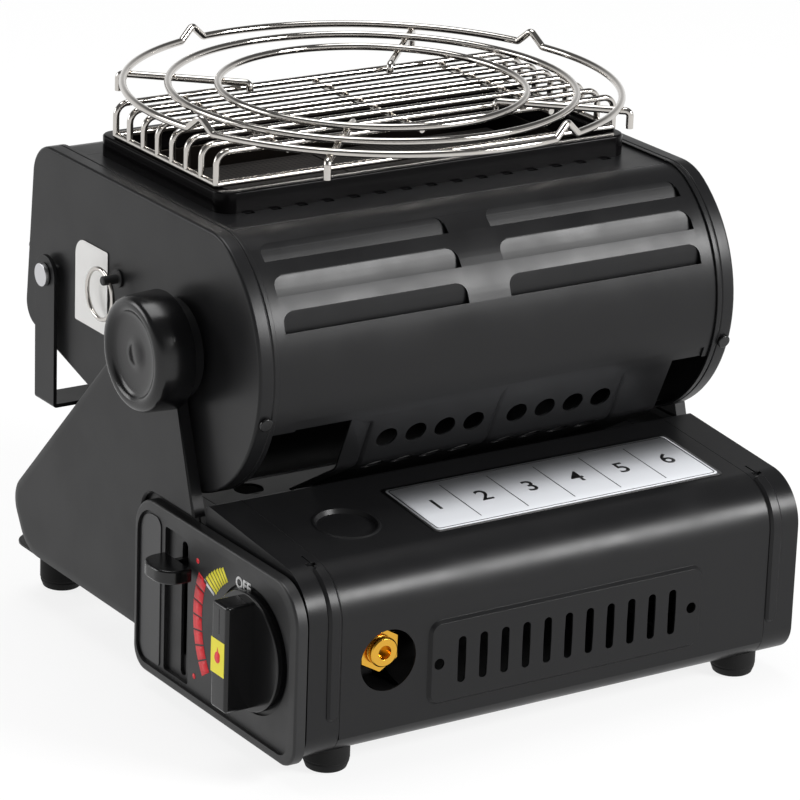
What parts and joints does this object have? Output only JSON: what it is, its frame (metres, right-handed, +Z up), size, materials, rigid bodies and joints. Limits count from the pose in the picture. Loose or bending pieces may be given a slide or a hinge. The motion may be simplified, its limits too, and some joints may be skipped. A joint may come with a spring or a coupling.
{
  "type": "portable gas heater",
  "caption": "Portable gas heater with a burner head that tilts between heating and cooking on a base for a gas cartridge.",
  "frame": {"origin": "middle of the object's width and depth, on the floor under its feet", "axes": "+X towards the right end, seen from the front, with the control panel on the -X end; +Y towards the back; +Z up"},
  "size_m": [0.269, 0.2514, 0.2293],
  "materials": {
    "black_powder_coat": "satin",
    "dark_steel": "matte",
    "gloss_enamel": "gloss",
    "chrome_wire": "polished",
    "zinc_steel": "satin",
    "black_abs": "satin",
    "gloss_black_knob": "gloss",
    "brass": "satin",
    "cast_alloy": "cast",
    "silver_label": "brushed",
    "white_label": "satin",
    "rubber": "matte",
    "reflector_steel": "satin",
    "ceramic": "matte"
  },
  "bodies": {
    "base": {"base_pan": "black_powder_coat", "end_cap_left": "black_powder_coat", "end_cap_right": "black_powder_coat", "rear_deck": "black_powder_coat", "hinge_pins": "zinc_steel", "control_bezel": "black_abs", "nameplate": "black_abs", "valve_block": "cast_alloy", "gas_nipple": "brass", "nipple_collar": "brass", "outlet_elbow": "brass", "piezo_unit": "black_abs", "cartridge_cradle": "dark_steel", "front_feet": "rubber", "rear_feet": "rubber", "stand_left": "black_powder_coat", "stand_right": "black_powder_coat", "rear_brace": "black_powder_coat"},
    "lid": {"bay_lid": "black_powder_coat", "bay_label": "silver_label"},
    "gas_knob_body": {"gas_knob": "gloss_black_knob", "knob_spindle": "zinc_steel"},
    "lever": {"lock_lever": "black_abs", "lock_yoke": "dark_steel"},
    "head": {"head_end_left": "black_powder_coat", "head_end_right": "black_powder_coat", "front_casing": "black_powder_coat", "air_apron": "dark_steel", "top_frame": "black_powder_coat", "rear_cover": "black_powder_coat", "casing_screws": "zinc_steel", "burner_tray": "gloss_enamel", "reflector": "reflector_steel", "burner_box": "reflector_steel", "plaque_left": "ceramic", "plaque_right": "ceramic", "mixing_tube": "dark_steel", "jet_holder": "dark_steel", "spark_electrode": "zinc_steel", "flame_sensor": "zinc_steel", "pivot_studs": "zinc_steel", "pivot_bushes": "dark_steel", "handle_screws": "zinc_steel", "head_label": "white_label", "wire_guard": "chrome_wire"},
    "left_tilt_knob": {"tilt_knob_left": "gloss_black_knob"},
    "right_tilt_knob": {"tilt_knob_right": "gloss_black_knob"},
    "handle": {"carry_handle": "black_powder_coat"},
    "pin": {"ring_pin": "black_powder_coat"},
    "pull": {"pull_ring": "chrome_wire"},
    "pan_support": {"pan_ring_outer": "chrome_wire", "pan_ring_middle": "chrome_wire", "pan_ring_inner": "chrome_wire", "pan_bars": "chrome_wire"}
  },
  "joints": [
    {"name": "lid_hinge", "type": "hinge", "parent": "base", "child": "lid", "pos_m": [0, -0.0493, 0.084], "axis": [-1, 0, 0], "range_deg": [0, 38]},
    {"name": "gas_knob_turn", "type": "hinge", "parent": "base", "child": "gas_knob_body", "pos_m": [-0.12, -0.0913, 0.045], "axis": [-1, 0, 0], "range_deg": [0, 150]},
    {"name": "lever_slide", "type": "slide", "parent": "base", "child": "lever", "axis": [0, 0, -1], "range_m": [0, 0.041]},
    {"name": "head_tilt", "type": "hinge", "parent": "base", "child": "head", "pos_m": [0, -0.0218, 0.144], "axis": [1, 0, 0], "range_deg": [0, 90]},
    {"name": "left_tilt_knob_turn", "type": "hinge", "parent": "head", "child": "left_tilt_knob", "pos_m": [-0.1187, -0.0218, 0.144], "axis": [-1, 0, 0], "continuous": true},
    {"name": "right_tilt_knob_turn", "type": "hinge", "parent": "head", "child": "right_tilt_knob", "pos_m": [0.1187, -0.0218, 0.144], "axis": [1, 0, 0], "continuous": true},
    {"name": "handle_swing", "type": "hinge", "parent": "head", "child": "handle", "pos_m": [0, 0.0822, 0.144], "axis": [1, 0, 0], "range_deg": [0, 165]},
    {"name": "pin_pull", "type": "slide", "parent": "head", "child": "pin", "axis": [-1, 0, 0], "range_m": [0, 0.006]},
    {"name": "pull_ring_swing", "type": "hinge", "parent": "pin", "child": "pull", "pos_m": [-0.116, 0.0282, 0.157], "axis": [1, 0, 0], "range_deg": [-10, 10]},
    {"name": "pan_lift", "type": "slide", "parent": "head", "child": "pan_support", "axis": [0, 0, 1], "range_m": [0, 0.05]}
  ]
}
